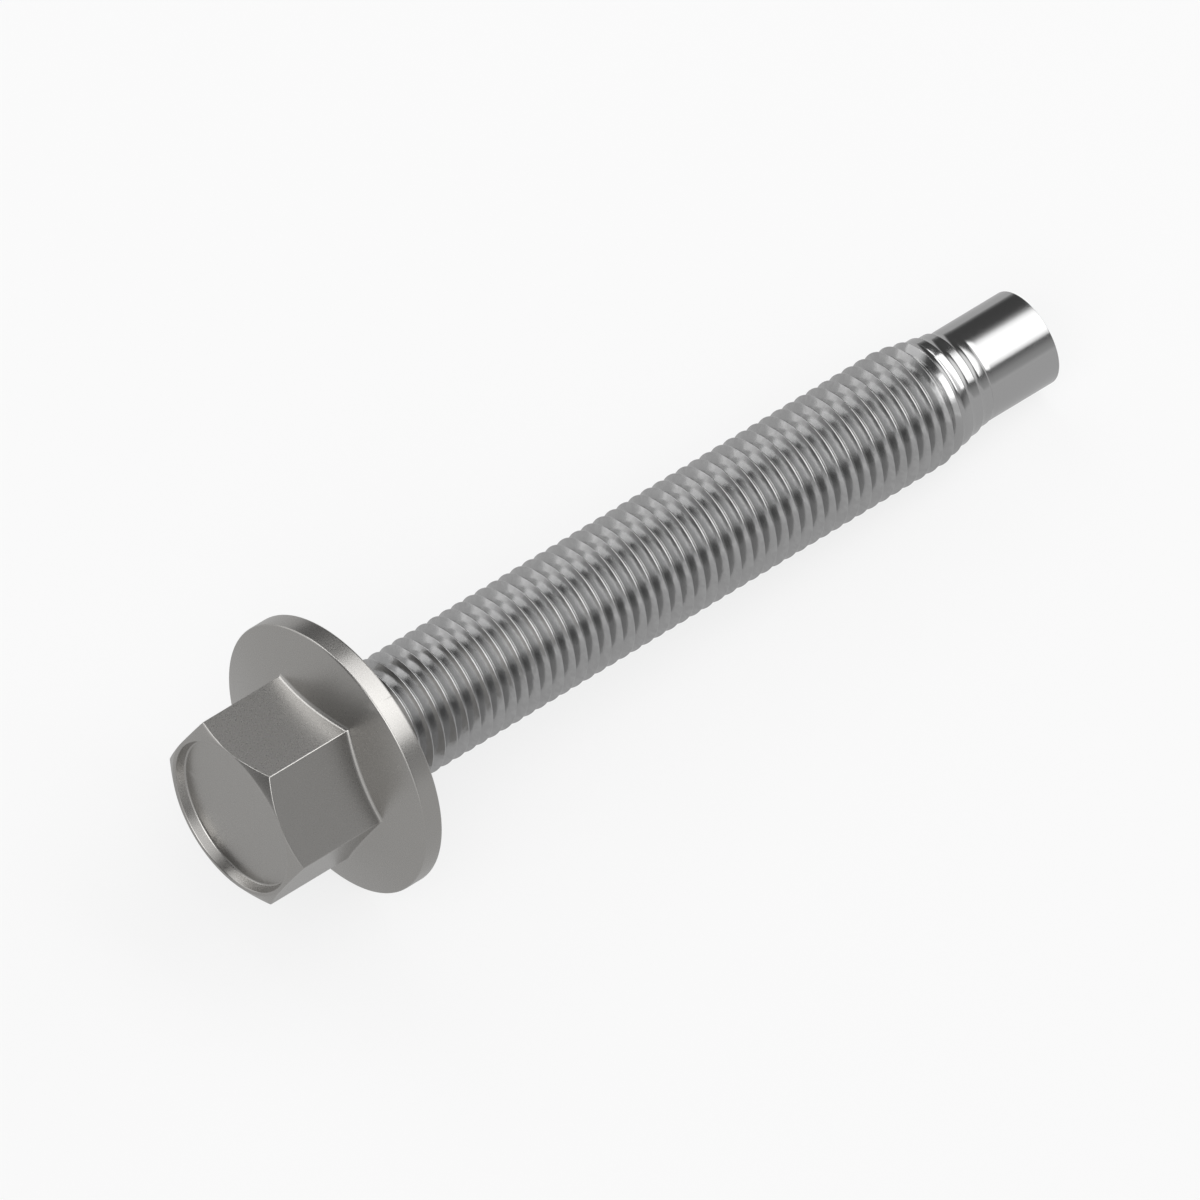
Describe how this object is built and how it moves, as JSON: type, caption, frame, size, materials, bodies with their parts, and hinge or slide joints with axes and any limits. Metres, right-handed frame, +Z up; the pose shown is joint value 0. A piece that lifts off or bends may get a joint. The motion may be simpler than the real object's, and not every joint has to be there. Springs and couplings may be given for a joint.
{
  "type": "hex flange screw",
  "caption": "Hex flange screw with a dished hexagon head, a conical flange, a fully threaded shank, a tapered lead-in and a plain pilot point, lying as it rests.",
  "frame": {"origin": "bottom centre of the bounding box of the screw as it lies on a floor, on its flange's rim and the end of its pilot", "axes": "+X along the screw from head to point, dipped by 6.3 degrees towards the floor at the point; +Z up; +Y across"},
  "size_m": [0.0942, 0.027, 0.0271],
  "materials": {
    "steel": "plain satin steel, with a bright pilot point"
  },
  "bodies": {
    "root": {"hex_flange_screw": "steel"}
  },
  "joints": []
}
